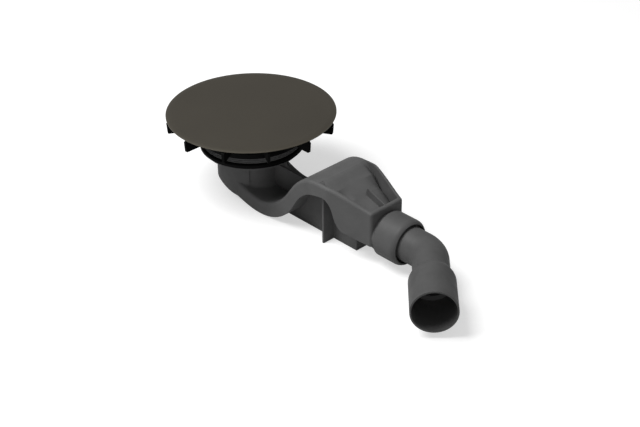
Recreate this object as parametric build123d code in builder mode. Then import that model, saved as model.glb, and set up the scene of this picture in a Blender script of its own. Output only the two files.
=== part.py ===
from build123d import *
import os
from math import cos, hypot, radians, sin, tan

os.makedirs("parts", exist_ok=True)

# Shower trap: a round cover on a finned carrier, a clamped tray seal, a wave-shaped siphon
# body and a 45 degree outlet elbow. Millimetres. The origin is on the waste axis, in the
# plane where the tray's underside meets the lower seal. X runs towards the outlet, Z is up.

# Levels above and below the tray seat
COVER_TOP = 38.2
FLANGE_TOP = 15.0
UPPER_SEAL_TOP = 11.0
NECK_TOP = 8.0
LOWER_SEAL_BOTTOM = -5.2
BODY_FLANGE_BOTTOM = -9.4
WEB_TOP = -14.5
OUTLET_Z = -27.4
FLOOR_Z = -59.5

# Cover and its carrier
COVER_R = 98.0
COVER_EDGE = 7.5
COVER_DROP = 1.0
COVER_T = 1.6
FIN_REACH = 0.3
FIN_COUNT = 12
FIN_T = 3.0
FIN_BOTTOM = 21.3
FIN_CHAMFER = 3.0
FIN_TAPER = 1.0
FIN_ROUND = 1.5
CARRIER_INSET = 6.0
CARRIER_PLATE_T = 2.2
CARRIER_HUB_R = 52.0
CARRIER_WALL = 2.4
HUB_WINDOW_W = 18.0
HUB_FOOT = 2.0

# Waste flange, seals, clamp ring and strainer
FLANGE_R = 60.5
FLANGE_CHAMFER = 1.0
CLAMP_R = 57.4
CLAMP_CHAMFER = 0.6
LOWER_SEAL_R = 60.6
SEAL_CHAMFER = 1.0
NECK_R = 44.5
NECK_BORE_R = 41.6
SLEEVE_WALL = 2.2
SLEEVE_BOTTOM = -7.0
FUNNEL_FLARE = 2.0
FIT = 0.3
STRAINER_RIM_R = 40.2
STRAINER_RIM_RISE = 1.3
STRAINER_DEPTH = 21.0
STRAINER_WALL = 1.6
STRAINER_SLOTS = 16
STRAINER_SLOT_W = 3.0
STRAINER_SLOT_L = 18.0
STRAINER_SLOT_AT_R = 22.0
STRAINER_GRIP_R = 5.0
STRAINER_GRIP_H = 17.0

# Trap body, with its roof and floor lines and the channel's cross sections behind the crest
WALL = 2.6
POT_R = 41.6
POT_FRONT_R = 40.0
POT_STEP_ANGLE = 47.0
POT_INSIDE_Z = -20.0
BODY_FLANGE_R = 55.5
BODY_HALF_WIDTH = 38.5
TAPER_START_X = 164.0
TAPER_ROUND = 20.0
BODY_END_X = 218.0
END_HALF_WIDTH = 24.0
END_ROUND = 4.0
RIM_T = 4.0
RIM_ROUND = 3.2
ROOF = [(10, -30), (36, -40.5), (55, -42.8), (76, -36), (94, -21.5), (107, -4), (121, 10.5),
        (135, 17.4), (150, 19.1), (166, 18.9), (177, 16.6), (190, 12.6), (204, 7.9), (BODY_END_X, 4)]
FLOOR = [(-47, -38), (-30, -41.3), (-12, -43), (7, -49.8), (24, -55.2), (54, FLOOR_Z), (83, -52.5),
         (105, -34.5), (122, -10), (138, 0.6), (150, 3.4), (160, 4.2), (167, -1.2), (171.6, -13),
         (177, -25), (182, -30)]
FLOOR_END_Z = -37.0
FLAT_END_X = 143.0
RECESS_START_X = 146.0
CHANNEL_SECTIONS = [(140, 36.2, 18.3, 1.5, 6), (149, 34, 18, 2, 6.5), (154, 33.3, 17.1, 1.5, 6.5),
                    (160, 32.2, 15.3, 1, 6.5), (168, 30.5, 12.4, 0, 6), (185, 27.2, 6, -26, 14)]
WEB_T = 2.4
WEB_END_X = 103.0
WEB_FOOT_X = 83.0
WEB_FOOT_Z = -43.4
CREST_RIB_T = 1.6
CREST_RIB_TOP = [(185.5, 5), (188.7, 14.8), (199.3, 10.5)]
CREST_RIB_END_Z = 4.7
KEEL_HALF_WIDTH = 15.0
KEEL_START_X = 62.0
KEEL_END_X = 187.0
RIB_X = 150.0
RIB_HALF_WIDTH = 30.5
FOOT_TOP_END = [(168, 1), (KEEL_END_X, -12)]

# Outlet joint and elbow
SPIGOT_R = 23.2
SPIGOT_BORE_R = 20.3
SPIGOT_END_X = 238.0
NUT_R = 26.3
NUT_START_X = 222.5
NUT_END_X = 252.7
NUT_ROUND = 6.7
NUT_BULGE = 8.5
NUT_DROP = 2.8
NUT_WALL = 2.6
NUT_HOLE_R = 22.5
NUT_STEP = 1.0
OUTLET_SEAL_T = 5.0
PIPE_R = 19.9
PIPE_WALL = 2.0
PIPE_START_X = 226.0
BEND_X = 280.9
BEND_ANGLE = 45.0
BEND_R = 29.0
FLARE_START = 36.5
FLARE_END = 53.0
LEG_R = 25.0
LEG_WALL = 1.8
LEG_STEP = 50.0
LEG_END = 103.4

# Reach of construction solids past the shape that they cut
REACH = 10.0

cover_bottom = COVER_TOP - COVER_T
carrier_bottom = cover_bottom - CARRIER_PLATE_T
fin_r = COVER_R + FIN_REACH
inner_half_width = BODY_HALF_WIDTH - WALL
end_inner_x = BODY_END_X - RIM_T
plan_base = FLOOR_Z - REACH
plan_height = COVER_TOP - plan_base
side_reach = POT_R + REACH


def ring(outer, inner, bottom, top):
    """Returns the section of a plain ring about the waste axis."""
    with BuildSketch(Plane.XZ) as section:
        with Locations(((outer + inner) / 2, (top + bottom) / 2)):
            Rectangle(outer - inner, top - bottom)
    return section.sketch


def tapered_plan(start_x, end_x, half_width, end_half_width, end_round):
    """Returns an outline from above: straight sides that taper towards the outlet's end."""
    with BuildSketch(Plane.XY.offset(plan_base)) as plan:
        with BuildLine():
            Polyline(
                (start_x, half_width),
                (TAPER_START_X, half_width),
                (end_x, end_half_width),
                (end_x, -end_half_width),
                (TAPER_START_X, -half_width),
                (start_x, -half_width),
                close=True,
            )
        make_face()
        fillet(plan.vertices().group_by(Axis.X)[-1], end_round)
        fillet(plan.vertices().group_by(Axis.X)[1], TAPER_ROUND)
    return plan.sketch


def shifted(points, distance):
    """Returns the points of a line moved sideways, to the left of the way it runs."""
    moved = []
    for index, (x, z) in enumerate(points):
        x_before, z_before = points[max(index - 1, 0)]
        x_after, z_after = points[min(index + 1, len(points) - 1)]
        length = hypot(x_after - x_before, z_after - z_before)
        moved.append((x - distance * (z_after - z_before) / length, z + distance * (x_after - x_before) / length))
    return moved


def side_outline(roof, floor, floor_end):
    """Returns the siphon's outline from the side, between a roof line and a floor line."""
    with BuildSketch(Plane.XZ) as side:
        with BuildLine():
            Spline(*roof)
            Spline(*floor)
            Polyline(floor[-1], floor_end, roof[-1])
            Polyline(roof[0], (roof[0][0] - 1, POT_INSIDE_Z), (floor[0][0], POT_INSIDE_Z), floor[0])
        make_face()
    return side.sketch


def channel_sections(inset, end_x, end_radius):
    """Returns the channel's cross sections from behind the crest to the round outlet."""
    sections = []
    for x, half_width, top, bottom, corner_r in CHANNEL_SECTIONS:
        with BuildSketch(Plane.YZ.offset(x)) as flat:
            with Locations((0, (top + bottom) / 2)):
                RectangleRounded(2 * (half_width - inset), top - bottom - 2 * inset, corner_r - inset)
        sections.append(flat.sketch)
    with BuildSketch(Plane.YZ.offset(end_x)) as round_end:
        with Locations((0, OUTLET_Z)):
            Circle(end_radius)
    return sections + [round_end.sketch]


# Cover plate: a flat disc whose edge falls away in a soft curve
with BuildPart() as cover_plate:
    with BuildSketch(Plane.XZ):
        with BuildLine():
            Line((0, COVER_TOP), (COVER_R - COVER_EDGE, COVER_TOP))
            TangentArc(
                (COVER_R - COVER_EDGE, COVER_TOP),
                (COVER_R, COVER_TOP - COVER_DROP),
                tangent=(1, 0),
            )
            Polyline((COVER_R, COVER_TOP - COVER_DROP), (COVER_R, cover_bottom), (0, cover_bottom), (0, COVER_TOP))
        make_face()
    revolve(axis=Axis.Z)
cover_plate.part.label = "cover_plate"
export_step(cover_plate.part, "parts/cover_plate.step")

# Cover carrier: a thin ring plate, a hub with windows for the water and radial fins
with BuildPart() as cover_carrier:
    plate = ring(COVER_R - CARRIER_INSET, CARRIER_HUB_R - CARRIER_WALL, carrier_bottom, cover_bottom)
    revolve(plate, axis=Axis.Z)
    revolve(ring(CARRIER_HUB_R, CARRIER_HUB_R - CARRIER_WALL, FLANGE_TOP, cover_bottom), axis=Axis.Z)
    with BuildSketch(Plane.YZ.offset(CARRIER_HUB_R - 2 * CARRIER_WALL)) as window:
        with Locations((0, (FLANGE_TOP + HUB_FOOT + carrier_bottom) / 2)):
            Rectangle(HUB_WINDOW_W, carrier_bottom - FLANGE_TOP - HUB_FOOT)
    window_cut = extrude(window.sketch, amount=3 * CARRIER_WALL, mode=Mode.PRIVATE)
    with PolarLocations(0, FIN_COUNT, start_angle=180 / FIN_COUNT):
        add(window_cut, mode=Mode.SUBTRACT)
    fin_root_r = CARRIER_HUB_R - CARRIER_WALL / 2
    with BuildSketch(Plane.XZ) as fin_side:
        with BuildLine():
            Polyline(
                (fin_root_r, cover_bottom),
                (fin_r - FIN_CHAMFER, cover_bottom),
                (fin_r, cover_bottom - FIN_CHAMFER),
                (fin_r - FIN_TAPER, FIN_BOTTOM),
                (fin_root_r, FIN_BOTTOM),
                close=True,
            )
        make_face()
        fillet(fin_side.vertices().group_by(Axis.Y)[0].sort_by(Axis.X)[-1], FIN_ROUND)
    fin = extrude(fin_side.sketch, amount=FIN_T / 2, both=True, mode=Mode.PRIVATE)
    with PolarLocations(0, FIN_COUNT):
        add(fin)
cover_carrier.part.label = "cover_carrier"
export_step(cover_carrier.part, "parts/cover_carrier.step")

# Waste flange: the black upper ring with a funnel and a sleeve that drops into the neck
with BuildPart() as waste_flange:
    sleeve_r = NECK_BORE_R - FIT
    with BuildSketch(Plane.XZ):
        with BuildLine():
            Polyline(
                (sleeve_r, SLEEVE_BOTTOM),
                (sleeve_r, UPPER_SEAL_TOP),
                (FLANGE_R, UPPER_SEAL_TOP),
                (FLANGE_R, FLANGE_TOP - FLANGE_CHAMFER),
                (FLANGE_R - FLANGE_CHAMFER, FLANGE_TOP),
                (sleeve_r + FUNNEL_FLARE, FLANGE_TOP),
                (sleeve_r - SLEEVE_WALL, UPPER_SEAL_TOP),
                (sleeve_r - SLEEVE_WALL, SLEEVE_BOTTOM),
                close=True,
            )
        make_face()
    revolve(axis=Axis.Z)
waste_flange.part.label = "waste_flange"
export_step(waste_flange.part, "parts/waste_flange.step")

# Upper seal between the waste flange and the clamp ring
with BuildPart() as upper_seal:
    revolve(ring(FLANGE_R, NECK_BORE_R, NECK_TOP, UPPER_SEAL_TOP), axis=Axis.Z)
upper_seal.part.label = "upper_seal"
export_step(upper_seal.part, "parts/upper_seal.step")

# Clamp ring: screws down the neck and presses the tray's edge on the lower seal
with BuildPart() as clamp_ring:
    revolve(ring(CLAMP_R, NECK_R + FIT, 0, NECK_TOP), axis=Axis.Z)
    chamfer(clamp_ring.edges().filter_by(GeomType.CIRCLE).group_by(SortBy.RADIUS)[-1], CLAMP_CHAMFER)
clamp_ring.part.label = "clamp_ring"
export_step(clamp_ring.part, "parts/clamp_ring.step")

# Lower seal under the tray
with BuildPart() as lower_seal:
    revolve(ring(LOWER_SEAL_R, NECK_R, LOWER_SEAL_BOTTOM, 0), axis=Axis.Z)
    chamfer(lower_seal.edges().filter_by(GeomType.CIRCLE).group_by(SortBy.RADIUS)[-1], SEAL_CHAMFER)
lower_seal.part.label = "lower_seal"
export_step(lower_seal.part, "parts/lower_seal.step")

# Hair strainer: a slotted cup whose rim hangs in the funnel
with BuildPart() as hair_strainer:
    cup_r = POT_FRONT_R - WALL - FIT
    rim_z = UPPER_SEAL_TOP + STRAINER_RIM_RISE
    cup_bottom = rim_z - STRAINER_DEPTH
    revolve(ring(cup_r, 0, cup_bottom, rim_z), axis=Axis.Z)
    offset(amount=-STRAINER_WALL, openings=hair_strainer.faces().sort_by(Axis.Z)[-1])
    revolve(ring(STRAINER_RIM_R, cup_r - STRAINER_WALL, rim_z, rim_z + STRAINER_WALL), axis=Axis.Z)
    with BuildSketch(Plane.XY.offset(cup_bottom)):
        with PolarLocations(STRAINER_SLOT_AT_R, STRAINER_SLOTS):
            SlotOverall(STRAINER_SLOT_L, STRAINER_SLOT_W)
    extrude(amount=STRAINER_WALL, mode=Mode.SUBTRACT)
    with BuildSketch(Plane.XY.offset(cup_bottom)):
        Circle(STRAINER_GRIP_R)
    extrude(amount=STRAINER_GRIP_H)
hair_strainer.part.label = "hair_strainer"
export_step(hair_strainer.part, "parts/hair_strainer.step")

# Outer form of the water channel behind the crest, from a flat slot to the round outlet
with BuildPart() as channel:
    loft(channel_sections(0, end_inner_x + RIM_T / 2, SPIGOT_R), ruled=True)

# Hollow of the pot under the neck
over_pot = [(FLOOR[0][0], COVER_TOP), (BODY_END_X, COVER_TOP)]
hollow_floor = shifted(FLOOR, WALL)
with BuildPart() as pot_hollow:
    extrude(side_outline(over_pot, hollow_floor, (BODY_END_X, 0)), amount=side_reach, both=True)
    with BuildSketch(Plane.XY.offset(plan_base)):
        Circle(POT_FRONT_R - WALL)
    extrude(amount=plan_height, mode=Mode.INTERSECT)

# Hollow of the channel, a wall's thickness inside its outer form
with BuildPart() as waterway:
    extrude(
        side_outline(shifted(ROOF, -WALL), hollow_floor, (BODY_END_X, FLOOR_END_Z)),
        amount=inner_half_width,
        both=True,
    )
    with BuildSketch(Plane.YZ):
        Rectangle(2 * side_reach, 2 * side_reach)
    extrude(amount=FLAT_END_X, mode=Mode.INTERSECT)
    loft(channel_sections(WALL, BODY_END_X, SPIGOT_BORE_R), ruled=True)
    with BuildSketch(Plane.YZ.offset(BODY_END_X)):
        with Locations((0, OUTLET_Z)):
            Circle(SPIGOT_BORE_R)
    extrude(amount=SPIGOT_END_X - BODY_END_X)
    add(pot_hollow.part)

# Outer form of the pot: a cylinder whose front quarter steps back a little
with BuildPart() as pot:
    extrude(side_outline(over_pot, FLOOR, (BODY_END_X, 0)), amount=side_reach, both=True)
    with BuildSketch(Plane.XY.offset(plan_base)):
        Circle(POT_R)
    extrude(amount=BODY_FLANGE_BOTTOM - plan_base, mode=Mode.INTERSECT)
    with BuildSketch(Plane.XY.offset(plan_base)):
        with BuildLine():
            Polyline(
                (0, 0),
                (2 * POT_R, -2 * POT_R * tan(radians(POT_STEP_ANGLE))),
                (2 * POT_R, 2 * POT_R * tan(radians(POT_STEP_ANGLE))),
                close=True,
            )
        make_face()
        Circle(POT_FRONT_R, mode=Mode.SUBTRACT)
    extrude(amount=BODY_FLANGE_BOTTOM - plan_base, mode=Mode.SUBTRACT)

# Foot under the siphon: two long webs, their end web and a cross rib, all down to the floor
foot_top = [(x, z + WALL / 2) for x, z in FLOOR if x <= RIB_X]
with BuildPart() as foot:
    with BuildSketch(Plane.XZ):
        with BuildLine():
            Spline(*foot_top)
            Polyline(
                foot_top[-1],
                *FOOT_TOP_END,
                (KEEL_END_X, FLOOR_Z),
                (foot_top[0][0], FLOOR_Z),
                foot_top[0],
            )
        make_face()
    extrude(amount=BODY_HALF_WIDTH, both=True)
    with BuildSketch(Plane.XY.offset(FLOOR_Z)):
        with Locations(((KEEL_START_X + KEEL_END_X) / 2, 0)):
            Rectangle(KEEL_END_X - KEEL_START_X, 2 * KEEL_HALF_WIDTH)
            Rectangle(
                KEEL_END_X - KEEL_START_X - 2 * WEB_T,
                2 * (KEEL_HALF_WIDTH - WEB_T),
                mode=Mode.SUBTRACT,
            )
        with Locations((RIB_X, 0)):
            Rectangle(WEB_T, 2 * RIB_HALF_WIDTH)
    extrude(amount=plan_height, mode=Mode.INTERSECT)

# Recess behind the crest: open above, closed by a floor of a wall's thickness
recess_floor = shifted([point for point in FLOOR if point[0] > FLAT_END_X], WALL)
with BuildPart() as recess:
    with BuildSketch(Plane.XZ):
        with BuildLine():
            Spline(*recess_floor)
            Polyline(
                recess_floor[-1],
                (end_inner_x, FLOOR_END_Z + WALL),
                (end_inner_x, COVER_TOP),
                (recess_floor[0][0], COVER_TOP),
                recess_floor[0],
            )
        make_face()
    extrude(amount=BODY_HALF_WIDTH, both=True)
    recess_plan = tapered_plan(
        RECESS_START_X,
        end_inner_x,
        BODY_HALF_WIDTH - RIM_T,
        END_HALF_WIDTH - RIM_T,
        END_ROUND / 2,
    )
    extrude(recess_plan, amount=plan_height, mode=Mode.INTERSECT)

# Trap body: side walls that follow the wave, with the channel, the pot and the ribs between them
with BuildPart() as trap_body:
    extrude(side_outline(ROOF, FLOOR, (BODY_END_X, FLOOR_END_Z)), amount=side_reach, both=True)
    body_plan = tapered_plan(0, BODY_END_X, BODY_HALF_WIDTH, END_HALF_WIDTH, END_ROUND)
    extrude(body_plan, amount=plan_height, mode=Mode.INTERSECT)
    roof_face = trap_body.faces().filter_by(GeomType.EXTRUSION).sort_by(Axis.Z)[-1]
    fillet(roof_face.edges().sort_by(Axis.X)[1:], RIM_ROUND)
    add(recess.part, mode=Mode.SUBTRACT)
    add(channel.part)
    add(pot.part)
    add(foot.part)
    revolve(ring(BODY_FLANGE_R, POT_FRONT_R - WALL, BODY_FLANGE_BOTTOM, LOWER_SEAL_BOTTOM), axis=Axis.Z)
    revolve(ring(NECK_R, NECK_BORE_R, LOWER_SEAL_BOTTOM, NECK_TOP), axis=Axis.Z)
    with BuildSketch(Plane.YZ.offset(end_inner_x)):
        with Locations((0, OUTLET_Z)):
            Circle(SPIGOT_R)
    extrude(amount=SPIGOT_END_X - end_inner_x)

    # Upright web over the dip
    with BuildSketch(Plane.XZ):
        with BuildLine():
            Polyline(
                (POT_FRONT_R - WALL / 2, WEB_TOP),
                (WEB_END_X, WEB_TOP),
                (WEB_FOOT_X, WEB_FOOT_Z),
                (POT_FRONT_R - WALL / 2, WEB_FOOT_Z),
                close=True,
            )
        make_face()
    extrude(amount=WEB_T / 2, both=True)

    # Thin rib on the channel in front of the end wall
    with BuildSketch(Plane.XZ):
        with BuildLine():
            Polyline(
                *CREST_RIB_TOP,
                (end_inner_x + WALL / 2, CREST_RIB_END_Z),
                (end_inner_x + WALL / 2, OUTLET_Z),
                (CREST_RIB_TOP[0][0], OUTLET_Z),
                close=True,
            )
        make_face()
    extrude(amount=CREST_RIB_T / 2, both=True)
    add(waterway.part, mode=Mode.SUBTRACT)
    revolve(ring(NECK_BORE_R, 0, SLEEVE_BOTTOM - FIT, NECK_TOP), axis=Axis.Z, mode=Mode.SUBTRACT)
trap_body.part.label = "trap_body"
export_step(trap_body.part, "parts/trap_body.step")

# Union nut on the spigot, with a rounded front that closes round the pipe
with BuildPart() as union_nut:
    with BuildSketch(Plane.XZ):
        with BuildLine():
            Polyline(
                (NUT_START_X, OUTLET_Z + NUT_R),
                (NUT_END_X - NUT_ROUND, OUTLET_Z + NUT_R),
            )
            RadiusArc(
                (NUT_END_X - NUT_ROUND, OUTLET_Z + NUT_R),
                (NUT_END_X, OUTLET_Z + NUT_R - NUT_DROP),
                NUT_BULGE,
            )
            Polyline(
                (NUT_END_X, OUTLET_Z + NUT_R - NUT_DROP),
                (NUT_END_X, OUTLET_Z + NUT_HOLE_R),
                (NUT_END_X - NUT_WALL, OUTLET_Z + NUT_HOLE_R),
                (NUT_END_X - NUT_WALL - NUT_STEP, OUTLET_Z + SPIGOT_R + FIT),
                (NUT_START_X, OUTLET_Z + SPIGOT_R + FIT),
                (NUT_START_X, OUTLET_Z + NUT_R),
            )
        make_face()
    revolve(axis=Axis((0, 0, OUTLET_Z), (1, 0, 0)))
union_nut.part.label = "union_nut"
export_step(union_nut.part, "parts/union_nut.step")

# Cone seal at the spigot's mouth and the slip ring that the nut presses on it
slip_ring_x = SPIGOT_END_X + OUTLET_SEAL_T
with BuildPart() as outlet_seal:
    with BuildSketch(Plane.YZ.offset(SPIGOT_END_X)):
        with Locations((0, OUTLET_Z)):
            Circle(SPIGOT_R)
            Circle(PIPE_R, mode=Mode.SUBTRACT)
    extrude(amount=OUTLET_SEAL_T)
outlet_seal.part.label = "outlet_seal"
export_step(outlet_seal.part, "parts/outlet_seal.step")

with BuildPart() as slip_ring:
    with BuildSketch(Plane.YZ.offset(slip_ring_x)):
        with Locations((0, OUTLET_Z)):
            Circle(SPIGOT_R - FIT)
            Circle(PIPE_R + FIT, mode=Mode.SUBTRACT)
    extrude(amount=NUT_END_X - NUT_WALL - NUT_STEP - slip_ring_x)
slip_ring.part.label = "slip_ring"
export_step(slip_ring.part, "parts/slip_ring.step")

# Outlet elbow: pipe end, bend, flare and wide leg, with the bore through them
turn = radians(BEND_ANGLE)
corner = (BEND_X, 0, OUTLET_Z)
bend_start_x = BEND_X - BEND_R * tan(turn / 2)
leg = Plane(origin=corner, x_dir=(cos(turn), -sin(turn), 0), z_dir=(0, 0, 1))
leg_axis = Axis(corner, (cos(turn), -sin(turn), 0))


def bent_pipe(radius):
    """Returns a solid rod along the pipe end, the bend and the leg up to the bore's step."""
    with BuildPart() as rod:
        with BuildSketch(Plane.YZ.offset(PIPE_START_X)):
            with Locations((0, OUTLET_Z)):
                Circle(radius)
        extrude(amount=bend_start_x - PIPE_START_X)
        with BuildSketch(Plane.YZ.offset(bend_start_x)):
            with Locations((0, OUTLET_Z)):
                Circle(radius)
        revolve(axis=Axis((bend_start_x, -BEND_R, 0), (0, 0, -1)), revolution_arc=BEND_ANGLE)
        with BuildSketch(leg):
            with Locations(((BEND_X - bend_start_x + LEG_STEP) / 2, radius / 2)):
                Rectangle(LEG_STEP - BEND_X + bend_start_x, radius)
        revolve(axis=leg_axis)
    return rod.part


outer_pipe = bent_pipe(PIPE_R)
pipe_bore = bent_pipe(PIPE_R - PIPE_WALL)
with BuildPart() as outlet_elbow:
    add(outer_pipe)
    with BuildSketch(leg):
        with BuildLine():
            Line((FLARE_START, 0), (FLARE_START, PIPE_R))
            Spline((FLARE_START, PIPE_R), (FLARE_END, LEG_R), tangents=((1, 0), (1, 0)))
            Polyline((FLARE_END, LEG_R), (LEG_END, LEG_R), (LEG_END, 0), (FLARE_START, 0))
        make_face()
    revolve(axis=leg_axis)
    add(pipe_bore, mode=Mode.SUBTRACT)
    with BuildSketch(leg):
        with Locations(((LEG_STEP + LEG_END) / 2, (LEG_R - LEG_WALL) / 2)):
            Rectangle(LEG_END - LEG_STEP, LEG_R - LEG_WALL)
    revolve(axis=leg_axis, mode=Mode.SUBTRACT)
outlet_elbow.part.label = "outlet_elbow"
export_step(outlet_elbow.part, "parts/outlet_elbow.step")
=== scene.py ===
"""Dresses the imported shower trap: plastics, seals and coated cover, fine moulded detail, and a studio."""

import math

import bmesh
import bpy
from bpy.props import FloatProperty, FloatVectorProperty, IntProperty, PointerProperty
from mathutils import Matrix, Vector


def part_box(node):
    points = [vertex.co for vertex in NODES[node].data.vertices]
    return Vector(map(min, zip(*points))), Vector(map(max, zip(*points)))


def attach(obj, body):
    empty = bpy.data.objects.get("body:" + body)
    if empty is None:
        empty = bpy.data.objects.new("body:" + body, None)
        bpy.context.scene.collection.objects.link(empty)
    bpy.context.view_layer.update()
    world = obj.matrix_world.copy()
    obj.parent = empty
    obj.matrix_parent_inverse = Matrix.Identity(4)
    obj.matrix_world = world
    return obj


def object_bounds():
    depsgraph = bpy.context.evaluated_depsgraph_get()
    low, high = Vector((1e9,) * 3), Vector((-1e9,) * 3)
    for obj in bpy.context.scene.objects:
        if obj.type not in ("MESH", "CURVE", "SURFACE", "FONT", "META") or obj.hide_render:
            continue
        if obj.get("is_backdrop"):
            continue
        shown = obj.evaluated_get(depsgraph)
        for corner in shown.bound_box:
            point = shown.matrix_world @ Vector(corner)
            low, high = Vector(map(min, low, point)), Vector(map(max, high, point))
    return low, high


bl_info = {
    "name": "Shower Trap Finisher",
    "version": (1, 0, 0),
    "blender": (4, 5, 0),
    "location": "3D Viewport > Sidebar > Shower Trap",
    "description": "Gives a shower trap its plastic, rubber and coated finishes and sets up its studio",
    "category": "Object",
}

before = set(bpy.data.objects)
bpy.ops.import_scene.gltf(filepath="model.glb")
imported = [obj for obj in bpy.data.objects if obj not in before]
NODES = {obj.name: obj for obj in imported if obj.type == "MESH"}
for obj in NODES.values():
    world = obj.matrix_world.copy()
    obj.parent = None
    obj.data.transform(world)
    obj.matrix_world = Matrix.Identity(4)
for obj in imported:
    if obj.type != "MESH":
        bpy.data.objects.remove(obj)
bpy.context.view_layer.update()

# Every length is in metres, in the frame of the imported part: X runs along the trap, Z up the waste's axis.

# How far the underside of an added shell lies in the surface that it covers
SHELL_DEPTH = 0.0008

# Heights from which rays look down on the siphon body
ABOVE_BODY = 0.03
BELOW_FLANGE = -0.02

# The pot's foot is an arc about the waste's axis, in degrees to either side of X. Past FOOT_FULL it
# shrinks, and there the pot's wall swells outward over POT_SWELL_SPAN degrees.
POT_RADIUS = 0.04
POT_SWELL = 0.0016
POT_SWELL_SPAN = 6.0
FOOT_REACH = 58.0
FOOT_FULL = 44.0
FOOT_FADE = 0.75
FOOT_CLEARANCE = 0.0004
FOOT_ROOT = 0.0006
FOOT_SIDE_SINK = 0.00005
FOOT_TOP_SINK = 0.00003

# The strip over the step where the recess starts: it rises out of the roof and sinks away into the hood,
# which narrows by STRIP_TAPER on each side as it goes.
STRIP_START = 0.1472
RECESS_START = 0.1497
STRIP_END = 0.164
STEP_MARGIN = 0.0001
STRIP_HALF_WIDTH = 0.0332
STRIP_TAPER = 0.19
STRIP_RISE = 0.00012
STRIP_SINK = 0.00002
STRIP_FADE = 0.00014

# The ramps that lead from the crest down into the recess's side pockets. RAMP_INSIDE lies under the
# hood's side and RAMP_OUTSIDE in the side wall. POCKET_REACH is the last place over the pocket's floor.
RAMP_END = 0.167
RAMP_DEPTH = 0.0175
RAMP_CURVE = 1.6
RAMP_SINK = 0.00005
RAMP_COVER = 0.0004
RAMP_INSIDE = 0.0285
RAMP_OUTSIDE = 0.0346
POCKET_REACH = 0.034

# The thread rings: root under the rim, flank as a share of the pitch, shoulder as a share of the height
RING_ROOT = 0.0004
RING_FLANK = 0.22
RING_SHOULDER = 0.7

# Painted highlight: how the cover's coating colour is lightened where its edge falls away from the
# horizontal, in place of the light that the rounded rim catches
FLAT_FACING = 0.985
EDGE_FACING = 0.955
RIM_HIGHLIGHT_GAIN = 1.7


# Settings


def colour_setting(name, description, default):
    """Returns a setting for a colour."""
    return FloatVectorProperty(
        name=name,
        description=description,
        default=default,
        subtype="COLOR",
        size=3,
        min=0.0,
        max=1.0,
    )


def number_setting(name, description, default, low, high, unit="LENGTH"):
    """Returns a setting for one number, by default a length."""
    return FloatProperty(name=name, description=description, default=default, min=low, max=high, unit=unit)


def angle_setting(name, description, degrees):
    """Returns a setting for an angle."""
    return FloatProperty(name=name, description=description, default=math.radians(degrees), subtype="ANGLE")


class TrapFinishSettings(bpy.types.PropertyGroup):
    """Colours and textures of the trap's surfaces."""

    cover_colour: colour_setting("Cover coating", "Colour of the coated cover plate", (0.046, 0.04, 0.029))
    plastic_colour: colour_setting(
        "Grey plastic", "Colour of the moulded siphon body, nut and elbow", (0.091, 0.091, 0.091)
    )
    black_colour: colour_setting(
        "Black plastic", "Colour of the cover's carrier and the waste flange", (0.002, 0.002, 0.002)
    )
    rubber_colour: colour_setting("Rubber", "Colour of the seals", (0.003, 0.003, 0.003))
    grain_size: number_setting(
        "Mould grain", "Size of the fine grain that the mould leaves on the plastic", 0.0006, 0.0001, 0.01
    )
    edge_softness: number_setting(
        "Edge softness", "Radius over which moulded edges catch the light", 0.0009, 0.0, 0.01
    )


class ThreadRingSettings(bpy.types.PropertyGroup):
    """Fine rings on the rim of the clamp ring."""

    ring_count: IntProperty(
        name="Rings",
        description="Number of fine rings round the clamp ring",
        default=3,
        min=1,
        max=8,
    )
    ring_height: number_setting("Ring height", "How far a ring stands out of the rim", 0.0009, 0.0001, 0.002)


class MouldBlendSettings(bpy.types.PropertyGroup):
    """Soft transitions that the mould gives the siphon body."""

    foot_width: number_setting(
        "Pot foot",
        "Width of the rounded transition between the pot and the roof of the dip",
        0.0042,
        0.001,
        0.01,
    )
    foot_height: number_setting(
        "Pot foot height", "How far the rounded transition climbs up the pot", 0.0055, 0.001, 0.01
    )


class StudioSettings(bpy.types.PropertyGroup):
    """Camera, lamps and floor."""

    lens_length: FloatProperty(
        name="Lens",
        description="Focal length of the camera",
        default=80.98,
        min=10.0,
        max=300.0,
        subtype="DISTANCE_CAMERA",
    )
    camera_place: FloatVectorProperty(
        name="Camera",
        description="Where the camera stands",
        default=(1.1178, -0.9496, 0.8072),
        subtype="TRANSLATION",
        size=3,
    )
    camera_heading: angle_setting(
        "Heading", "Direction that the camera looks in, counted from the trap's long axis", 136.61
    )
    camera_tilt: angle_setting("Tilt", "How far the camera looks down", 31.83)
    camera_roll: angle_setting("Roll", "Turn of the camera about its own line of sight", -0.53)
    ambient_level: number_setting(
        "Ambient light", "Strength of the even light from all round", 0.25, 0.0, 3.0, unit="NONE"
    )
    key_power: number_setting(
        "Key lamp", "Power of the large soft lamp above the trap", 42.0, 0.0, 1000.0, unit="POWER"
    )
    fill_power: number_setting(
        "Fill lamp", "Power of the weak lamp before the outlet", 1.6, 0.0, 100.0, unit="POWER"
    )
    floor_colour: colour_setting("Floor", "Colour of the floor under the trap", (0.55, 0.55, 0.55))


# Materials


def set_inputs(node, values):
    """Sets a node's inputs by name."""
    for name, value in values.items():
        node.inputs[name].default_value = value


def new_surface(name, colour, roughness):
    """Returns a new node material, its node tree and its shader."""
    material = bpy.data.materials.new(name)
    material.use_nodes = True
    material.diffuse_color = (*colour, 1.0)
    tree = material.node_tree
    shader = tree.nodes["Principled BSDF"]
    set_inputs(shader, {"Base Color": (*colour, 1.0), "Roughness": roughness})
    return material, tree, shader


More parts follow.
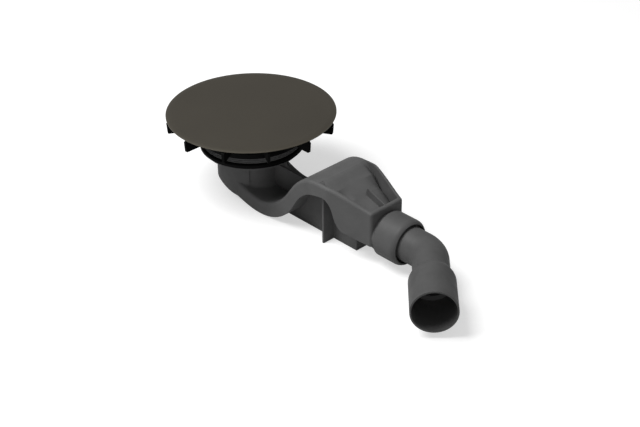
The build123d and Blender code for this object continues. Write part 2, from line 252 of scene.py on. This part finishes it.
def noise(tree, scale, detail, roughness=0.5, distortion=0.0):
    """Adds noise in object space, with its scale in features per metre, and returns its value."""
    place = tree.nodes.get("Place") or tree.nodes.new("ShaderNodeTexCoord")
    place.name = "Place"
    node = tree.nodes.new("ShaderNodeTexNoise")
    set_inputs(node, {"Scale": scale, "Detail": detail, "Roughness": roughness, "Distortion": distortion})
    tree.links.new(place.outputs["Object"], node.inputs["Vector"])
    return node.outputs["Fac"]


def spread(tree, value, low, high, from_low=0.3, from_high=0.7):
    """Spreads a value between two levels."""
    node = tree.nodes.new("ShaderNodeMapRange")
    set_inputs(node, {"From Min": from_low, "From Max": from_high, "To Min": low, "To Max": high})
    tree.links.new(value, node.inputs["Value"])
    return node.outputs["Result"]


def tinted(tree, colour, factor, darker, lighter):
    """Mixes a darker and a lighter shade of a colour."""
    node = tree.nodes.new("ShaderNodeMix")
    node.data_type = "RGBA"
    for name, gain in (("A", darker), ("B", lighter)):
        node.inputs[name].default_value = (*[min(1.0, level * gain) for level in colour], 1.0)
    tree.links.new(factor, node.inputs["Factor"])
    return node.outputs["Result"]


def scaled(tree, colour, factor):
    """Multiplies a colour by a value."""
    node = tree.nodes.new("ShaderNodeVectorMath")
    node.operation = "SCALE"
    tree.links.new(colour, node.inputs[0])
    tree.links.new(factor, node.inputs["Scale"])
    return node.outputs["Vector"]


def soft_edge(tree, radius):
    """Returns normals that round the shading of edges."""
    node = tree.nodes.new("ShaderNodeBevel")
    node.samples = 6
    node.inputs["Radius"].default_value = radius
    return node.outputs["Normal"]


def relief(tree, height, strength, distance, normal=None):
    """Returns normals with fine relief, on the plain surface or on given normals."""
    node = tree.nodes.new("ShaderNodeBump")
    set_inputs(node, {"Strength": strength, "Distance": distance})
    tree.links.new(height, node.inputs["Height"])
    if normal:
        tree.links.new(normal, node.inputs["Normal"])
    return node.outputs["Normal"]


def moulded_plastic(name, colour, grain, softness, roughness, shine=0.2):
    """Moulded plastic: slight cloudiness, fine grain, uneven gloss and softly caught edges."""
    material, tree, shader = new_surface(name, colour, roughness)
    cloud = spread(tree, noise(tree, scale=28.0, detail=5.0, roughness=0.6, distortion=0.4), 0.0, 1.0)
    tree.links.new(tinted(tree, colour, cloud, 0.88, 1.12), shader.inputs["Base Color"])
    streak = noise(tree, scale=90.0, detail=4.0, roughness=0.65)
    tree.links.new(spread(tree, streak, roughness - 0.06, roughness + 0.07), shader.inputs["Roughness"])
    pebble = noise(tree, scale=1.0 / grain, detail=3.0, roughness=0.55)
    fine = relief(tree, pebble, strength=0.18, distance=grain * 0.35, normal=soft_edge(tree, softness))
    sink = noise(tree, scale=22.0, detail=2.0, roughness=0.4)
    wavy = relief(tree, sink, strength=0.12, distance=0.001, normal=fine)
    tree.links.new(wavy, shader.inputs["Normal"])
    set_inputs(shader, {"IOR": 1.46, "Specular IOR Level": shine})
    return material


def seal_rubber(name, colour, softness):
    """Seal rubber: dull, with a faint bloom in patches and a soft skin."""
    material, tree, shader = new_surface(name, colour, 0.62)
    bloom = noise(tree, scale=60.0, detail=6.0, roughness=0.7, distortion=0.8)
    tone = spread(tree, bloom, 0.0, 1.0, from_low=0.35, from_high=0.75)
    tree.links.new(tinted(tree, colour, tone, 0.8, 1.9), shader.inputs["Base Color"])
    tree.links.new(spread(tree, bloom, 0.52, 0.74), shader.inputs["Roughness"])
    pores = noise(tree, scale=1400.0, detail=4.0, roughness=0.6)
    matt = relief(tree, pores, strength=0.25, distance=0.00015, normal=soft_edge(tree, softness))
    tree.links.new(matt, shader.inputs["Normal"])
    set_inputs(shader, {"IOR": 1.5, "Specular IOR Level": 0.05})
    return material


def cover_coating(name, colour):
    """Satin coating with a fine metallic speckle under a thin clear skin, and a painted highlight where its
    rim falls away.
    """
    material, tree, shader = new_surface(name, colour, 0.42)
    speck = spread(tree, noise(tree, scale=2600.0, detail=2.0, roughness=0.7), 0.0, 1.0, from_high=0.75)
    drift = noise(tree, scale=9.0, detail=3.0, distortion=0.3)
    shade = scaled(tree, tinted(tree, colour, speck, 0.86, 1.16), spread(tree, drift, 0.95, 1.05))
    facing = tree.nodes.new("ShaderNodeNewGeometry")
    split = tree.nodes.new("ShaderNodeSeparateXYZ")
    tree.links.new(facing.outputs["Normal"], split.inputs["Vector"])
    # Painted highlight: the colour is lightened where the normal tilts away from straight up, in place of
    # the light that the rounded rim catches
    edge = spread(tree, split.outputs["Z"], 1.0, RIM_HIGHLIGHT_GAIN, from_low=FLAT_FACING, from_high=EDGE_FACING)
    tree.links.new(scaled(tree, shade, edge), shader.inputs["Base Color"])
    tree.links.new(spread(tree, drift, 0.38, 0.46), shader.inputs["Roughness"])
    peel = noise(tree, scale=650.0, detail=3.0)
    tree.links.new(relief(tree, peel, strength=0.1, distance=0.0002), shader.inputs["Normal"])
    set_inputs(shader, {"Metallic": 0.25, "Coat Weight": 0.15, "Coat Roughness": 0.3})
    return material


def dress(node, material):
    """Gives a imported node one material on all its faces."""
    slots = NODES[node].material_slots
    if not slots:
        NODES[node].data.materials.append(material)
    for slot in slots:
        slot.material = material


class SHOWERTRAP_OT_finish_cover(bpy.types.Operator):
    """Coat the cover plate"""

    bl_idname = "showertrap.finish_cover"
    bl_label = "Coat Cover"

    def execute(self, context):
        finish = context.scene.trap_finish
        dress("cover_plate", cover_coating("Cover coating", tuple(finish.cover_colour)))
        return {"FINISHED"}


class SHOWERTRAP_OT_finish_plastics(bpy.types.Operator):
    """Give the moulded pieces their grey or black plastic"""

    bl_idname = "showertrap.finish_plastics"
    bl_label = "Finish Plastics"

    def execute(self, context):
        finish = context.scene.trap_finish
        grain = finish.grain_size
        softness = finish.edge_softness
        grey = tuple(finish.plastic_colour)
        fitting_grey = tuple(0.82 * level for level in grey)
        black = tuple(finish.black_colour)
        worn_black = tuple(2.5 * level for level in black)
        # Nodes, then the material's name, colour, edge softness, roughness and shine
        finishes = (
            (("trap_body", "clamp_ring"), "Siphon plastic", grey, softness, 0.55, 0.2),
            (("union_nut", "outlet_elbow"), "Fitting plastic", fitting_grey, softness * 0.5, 0.5, 0.2),
            (("cover_carrier", "waste_flange"), "Carrier plastic", black, softness * 0.6, 0.55, 0.06),
            (("hair_strainer", "slip_ring"), "Strainer plastic", worn_black, softness * 0.4, 0.4, 0.2),
        )
        for nodes, name, colour, edge, roughness, shine in finishes:
            material = moulded_plastic(name, colour, grain, edge, roughness, shine)
            for node in nodes:
                dress(node, material)
        return {"FINISHED"}


class SHOWERTRAP_OT_finish_seals(bpy.types.Operator):
    """Give the seals their rubber"""

    bl_idname = "showertrap.finish_seals"
    bl_label = "Finish Seals"

    def execute(self, context):
        finish = context.scene.trap_finish
        rubber = seal_rubber("Seal rubber", tuple(finish.rubber_colour), finish.edge_softness * 0.5)
        for node in ("upper_seal", "lower_seal", "outlet_seal"):
            dress(node, rubber)
        return {"FINISHED"}


# Added detail


def bridge(build, here, there):
    """Joins two closed loops of vertices with faces."""
    for index in range(len(here)):
        after = (index + 1) % len(here)
        build.faces.new((here[index], there[index], there[after], here[after]))


def finished_piece(name, build, material):
    """Turns a mesh under construction into a smooth shaded object."""
    bmesh.ops.recalc_face_normals(build, faces=build.faces)
    mesh = bpy.data.meshes.new(name)
    build.to_mesh(mesh)
    build.free()
    mesh.polygons.foreach_set("use_smooth", [True] * len(mesh.polygons))
    mesh.materials.append(material)
    piece = bpy.data.objects.new(name, mesh)
    bpy.context.scene.collection.objects.link(piece)
    return piece


def lathe(name, profile, material, segments=192):
    """Turns a closed profile of (height, radius) pairs about the waste axis into a ring."""
    build = bmesh.new()
    rings = []
    for step in range(segments):
        angle = 2.0 * math.pi * step / segments
        cosine, sine = math.cos(angle), math.sin(angle)
        rings.append([build.verts.new((radius * cosine, radius * sine, z)) for z, radius in profile])
    for here, there in zip(rings, rings[1:] + rings[:1]):
        bridge(build, here, there)
    return finished_piece(name, build, material)


def skin(name, rows, material):
    """Covers a row of closed loops of points with faces, closes both ends and keeps sharp edges."""
    build = bmesh.new()
    loops = [[build.verts.new(point) for point in row] for row in rows]
    for here, there in zip(loops, loops[1:]):
        bridge(build, here, there)
    build.faces.new(loops[0])
    build.faces.new(reversed(loops[-1]))
    piece = finished_piece(name, build, material)
    piece.data.set_sharp_from_angle(angle=math.radians(35.0))
    return piece


def level_below(body, x, y, start):
    """Returns the height of the body's surface straight below a point, or None if nothing is there."""
    inverse = body.matrix_world.inverted()
    down = inverse.to_3x3() @ Vector((0.0, 0.0, -1.0))
    found, place, *_ = body.ray_cast(inverse @ Vector((x, y, start)), down)
    return (body.matrix_world @ place).z if found else None


def foot_rows(body, foot_width, foot_height):
    """Returns loops that round the inner corner between the pot and the roof of the dip."""
    up = Vector((0.0, 0.0, 1.0))
    rows = []
    for step in range(61):
        degrees = FOOT_REACH * (step / 30.0 - 1.0)
        beyond = max(0.0, abs(degrees) - FOOT_FULL)
        radius = POT_RADIUS + POT_SWELL * min(1.0, beyond / POT_SWELL_SPAN)
        fade = 1.0 - FOOT_FADE * beyond / (FOOT_REACH - FOOT_FULL)
        width = foot_width * fade
        height = foot_height * fade
        out = Vector((math.cos(math.radians(degrees)), math.sin(math.radians(degrees)), 0.0))
        near = out * (radius + FOOT_CLEARANCE)
        far = out * (radius + width)
        near_level = level_below(body, near.x, near.y, BELOW_FLANGE)
        far_level = level_below(body, far.x, far.y, BELOW_FLANGE)
        if near_level is None or far_level is None:
            continue
        row = []
        for turn in range(9):
            sweep = math.radians(90.0 * turn / 8.0)
            run = 1.0 - math.cos(sweep)
            level = near_level + (far_level - near_level) * run + height * (1.0 - math.sin(sweep))
            row.append(out * (radius - FOOT_SIDE_SINK + width * run) + up * (level - FOOT_TOP_SINK))
        row.append(far + up * (far_level - FOOT_ROOT))
        row.append(out * (radius - FOOT_ROOT) + up * (near_level - FOOT_ROOT))
        row.append(out * (radius - FOOT_ROOT) + up * (near_level + height))
        rows.append(row)
    return rows


def shell_row(x, profile, tops):
    """Returns a closed loop across the body, over the tops one way and under its own surface back again."""
    over = [Vector((x, y, top)) for (y, _), top in zip(profile, tops)]
    under = [Vector((x, y, level - SHELL_DEPTH)) for y, level in reversed(profile)]
    return over + under


def strip_rows(body):
    """Returns loops of the strip that fills the step at the recess and sinks away into the hood."""
    before, after = RECESS_START - STEP_MARGIN, RECESS_START + STEP_MARGIN
    step_height = level_below(body, before, 0.0, ABOVE_BODY) - level_below(body, after, 0.0, ABOVE_BODY)
    stations = [STRIP_START + (before - STRIP_START) * step / 4.0 for step in range(5)]
    stations += [after + (STRIP_END - after) * step / 24.0 for step in range(25)]
    rows = []
    for x in stations:
        part = max(0.0, (x - after) / (STRIP_END - after))
        half = STRIP_HALF_WIDTH - STRIP_TAPER * (STRIP_END - after) * part
        lift = STRIP_RISE * min(1.0, (x - STRIP_START) / (before - STRIP_START)) - STRIP_SINK
        if x > RECESS_START:
            lift += step_height * (1.0 - part * part * (3.0 - 2.0 * part)) - STRIP_FADE * part
        profile = []
        for column in range(25):
            y = half * math.sin(math.pi / 2.0 * (column - 12) / 12.0)
            profile.append((y, level_below(body, x, y, ABOVE_BODY)))
        rows.append(shell_row(x, profile, [level + lift for _, level in profile]))
    return rows


def ramp_rows(body, side):
    """Returns loops of the ramp that leads from the crest down into one of the side pockets."""
    start = RECESS_START - STEP_MARGIN
    roof = level_below(body, start, 0.0, ABOVE_BODY)
    rows = []
    for step in range(25):
        part = step / 24.0
        x = start + (RAMP_END - start) * part
        ramp = roof - RAMP_SINK - RAMP_DEPTH * part**RAMP_CURVE
        profile = []
        for column in range(17):
            y = RAMP_INSIDE + (RAMP_OUTSIDE - RAMP_INSIDE) * column / 16.0
            profile.append((side * y, level_below(body, x, side * min(y, POCKET_REACH), ABOVE_BODY)))
        rows.append(shell_row(x, profile, [max(ramp, level - RAMP_COVER) for _, level in profile]))
    return rows


class SHOWERTRAP_OT_add_thread_rings(bpy.types.Operator):
    """Add the fine rings on the clamp ring's rim"""

    bl_idname = "showertrap.add_thread_rings"
    bl_label = "Add Thread Rings"

    def execute(self, context):
        rings = context.scene.trap_rings
        low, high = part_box("clamp_ring")
        radius = (high[0] - low[0]) / 2.0
        pitch = (high[2] - low[2]) / (rings.ring_count + 1)
        flank = pitch * RING_FLANK
        root = radius - RING_ROOT
        shoulder = radius + rings.ring_height * RING_SHOULDER
        top = radius + rings.ring_height
        outline = ((-1.6, root), (-1.0, shoulder), (-0.4, top), (0.4, top), (1.0, shoulder), (1.6, root))
        for number in range(1, rings.ring_count + 1):
            level = low[2] + pitch * number
            profile = [(level + flank * along, distance) for along, distance in outline]
            ring = lathe(f"thread_ring_{number}", profile, NODES["clamp_ring"].active_material)
            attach(ring, "root")
        return {"FINISHED"}


class SHOWERTRAP_OT_add_pot_foot(bpy.types.Operator):
    """Add the rounded transition between the pot and the roof of the dip"""

    bl_idname = "showertrap.add_pot_foot"
    bl_label = "Add Pot Foot"

    def execute(self, context):
        blends = context.scene.trap_blends
        body = NODES["trap_body"]
        rows = foot_rows(body, blends.foot_width, blends.foot_height)
        foot = skin("pot_foot", rows, body.active_material)
        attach(foot, "root")
        return {"FINISHED"}


class SHOWERTRAP_OT_add_crest_blend(bpy.types.Operator):
    """Let the roof run smoothly from the crest into the hood and its side pockets"""

    bl_idname = "showertrap.add_crest_blend"
    bl_label = "Add Crest Blend"

    def execute(self, context):
        finish = context.scene.trap_finish
        grey = tuple(finish.plastic_colour)
        material = moulded_plastic("Crest plastic", grey, finish.grain_size, softness=0.0, roughness=0.55)
        body = NODES["trap_body"]
        pieces = (
            ("crest_blend", strip_rows(body)),
            ("pocket_ramp_near", ramp_rows(body, -1.0)),
            ("pocket_ramp_far", ramp_rows(body, 1.0)),
        )
        for name, rows in pieces:
            blend = skin(name, rows, material)
            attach(blend, "root")
        return {"FINISHED"}


# Studio


def pale_floor_material(colour):
    """Floor that keeps shadows and shows white to the camera."""
    material, tree, shader = new_surface("Pale floor", colour, 0.9)
    speck = spread(tree, noise(tree, scale=40.0, detail=3.0, roughness=0.6), 0.0, 1.0)
    tree.links.new(tinted(tree, colour, speck, 0.995, 1.005), shader.inputs["Base Color"])
    shader.inputs["Specular IOR Level"].default_value = 0.0
    path = tree.nodes.new("ShaderNodeLightPath")
    level = tree.nodes.new("ShaderNodeMath")
    level.operation = "MULTIPLY"
    level.inputs[1].default_value = 0.55
    tree.links.new(path.outputs["Is Camera Ray"], level.inputs[0])
    glow = tree.nodes.new("ShaderNodeEmission")
    glow.inputs["Color"].default_value = (1.0, 1.0, 1.0, 1.0)
    tree.links.new(level.outputs["Value"], glow.inputs["Strength"])
    total = tree.nodes.new("ShaderNodeAddShader")
    tree.links.new(shader.outputs["BSDF"], total.inputs[0])
    tree.links.new(glow.outputs["Emission"], total.inputs[1])
    tree.links.new(total.outputs["Shader"], tree.nodes["Material Output"].inputs["Surface"])
    return material


def add_floor(colour, middle, level):
    """Adds the floor just under the trap."""
    mesh = bpy.data.meshes.new("studio_floor")
    build = bmesh.new()
    bmesh.ops.create_grid(build, x_segments=8, y_segments=8, size=6.0)
    build.to_mesh(mesh)
    build.free()
    mesh.materials.append(pale_floor_material(colour))
    ground = bpy.data.objects.new("studio_floor", mesh)
    ground.location = (*middle, level - 0.0001)
    bpy.context.scene.collection.objects.link(ground)
    ground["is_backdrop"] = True


def add_surroundings(ambient):
    """Adds a world that lights the trap evenly and shows white to the camera."""
    world = bpy.data.worlds.new("Studio surroundings")
    bpy.context.scene.world = world
    world.use_nodes = True
    tree = world.node_tree
    backdrop = tree.nodes["Background"]
    backdrop.inputs["Color"].default_value = (1.0, 1.0, 1.0, 1.0)
    path = tree.nodes.new("ShaderNodeLightPath")
    level = spread(tree, path.outputs["Is Camera Ray"], ambient, 1.0, from_low=0.0, from_high=1.0)
    tree.links.new(level, backdrop.inputs["Strength"])


def soft_lamp(name, place, target, size, power):
    """Adds a large square lamp that faces a point."""
    data = bpy.data.lights.new(name, "AREA")
    data.shape = "SQUARE"
    data.size = size
    data.energy = power
    lamp = bpy.data.objects.new(name, data)
    lamp.location = place
    lamp.rotation_euler = (Vector(target) - Vector(place)).to_track_quat("-Z", "Y").to_euler()
    bpy.context.scene.collection.objects.link(lamp)


def add_camera(studio):
    """Adds the camera that looks at the trap as the photograph does."""
    heading, tilt, roll = studio.camera_heading, studio.camera_tilt, studio.camera_roll
    across = math.cos(tilt)
    forward = Vector((math.cos(heading) * across, math.sin(heading) * across, -math.sin(tilt)))
    right = Vector((math.sin(heading), -math.cos(heading), 0.0))
    up = right.cross(forward)
    rolled_right = right * math.cos(roll) + up * math.sin(roll)
    rolled_up = up * math.cos(roll) - right * math.sin(roll)
    data = bpy.data.cameras.new("Photo camera")
    data.sensor_fit = "HORIZONTAL"
    data.sensor_width = 36.0
    data.lens = studio.lens_length
    data.clip_start = 0.01
    camera = bpy.data.objects.new("Photo camera", data)
    turn = Matrix((rolled_right, rolled_up, -forward)).transposed()
    camera.matrix_world = Matrix.Translation(Vector(studio.camera_place)) @ turn.to_4x4()
    bpy.context.scene.collection.objects.link(camera)
    bpy.context.scene.camera = camera


class SHOWERTRAP_OT_build_studio(bpy.types.Operator):
    """Build the floor, the surroundings, the lamps and the camera"""

    bl_idname = "showertrap.build_studio"
    bl_label = "Build Studio"

    def execute(self, context):
        studio = context.scene.trap_studio
        low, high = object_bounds()
        middle = ((low[0] + high[0]) / 2.0, (low[1] + high[1]) / 2.0)
        add_floor(tuple(studio.floor_colour), middle, low[2])
        add_surroundings(studio.ambient_level)
        # Name, place, target, size and power
        lamps = (
            ("Key lamp", (-0.35, -0.75, 1.65), (0.12, 0.0, 0.0), 1.1, studio.key_power),
            ("Fill lamp", (1.05, -0.8, 0.3), (0.33, -0.05, -0.03), 0.5, studio.fill_power),
        )
        for name, place, target, size, power in lamps:
            soft_lamp(name, place, target, size, power)
        add_camera(studio)
        context.scene.view_settings.view_transform = "Standard"
        return {"FINISHED"}


class SHOWERTRAP_PT_sidebar(bpy.types.Panel):
    """Sidebar panel that lists the settings and the steps"""

    bl_label = "Shower Trap"
    bl_idname = "SHOWERTRAP_PT_sidebar"
    bl_space_type = "VIEW_3D"
    bl_region_type = "UI"
    bl_category = "Shower Trap"

    def draw(self, context):
        layout = self.layout
        scene = context.scene
        for settings in (scene.trap_finish, scene.trap_rings, scene.trap_blends, scene.trap_studio):
            box = layout.box()
            for name in settings.__annotations__:
                box.prop(settings, name)
        for step in STEPS:
            layout.operator(step.bl_idname)


STEPS = (
    SHOWERTRAP_OT_finish_cover,
    SHOWERTRAP_OT_finish_plastics,
    SHOWERTRAP_OT_finish_seals,
    SHOWERTRAP_OT_add_thread_rings,
    SHOWERTRAP_OT_add_pot_foot,
    SHOWERTRAP_OT_add_crest_blend,
    SHOWERTRAP_OT_build_studio,
)
SETTINGS = (TrapFinishSettings, ThreadRingSettings, MouldBlendSettings, StudioSettings)
CLASSES = (*SETTINGS, *STEPS, SHOWERTRAP_PT_sidebar)


def register():
    for item in CLASSES:
        bpy.utils.register_class(item)
    bpy.types.Scene.trap_finish = PointerProperty(type=TrapFinishSettings)
    bpy.types.Scene.trap_rings = PointerProperty(type=ThreadRingSettings)
    bpy.types.Scene.trap_blends = PointerProperty(type=MouldBlendSettings)
    bpy.types.Scene.trap_studio = PointerProperty(type=StudioSettings)


def unregister():
    del bpy.types.Scene.trap_studio
    del bpy.types.Scene.trap_blends
    del bpy.types.Scene.trap_rings
    del bpy.types.Scene.trap_finish
    for item in reversed(CLASSES):
        bpy.utils.unregister_class(item)


def main():
    register()
    bpy.ops.showertrap.finish_cover()
    bpy.ops.showertrap.finish_plastics()
    bpy.ops.showertrap.finish_seals()
    bpy.ops.showertrap.add_thread_rings()
    bpy.ops.showertrap.add_pot_foot()
    bpy.ops.showertrap.add_crest_blend()
    bpy.ops.showertrap.build_studio()


if __name__ == "__main__":
    main()
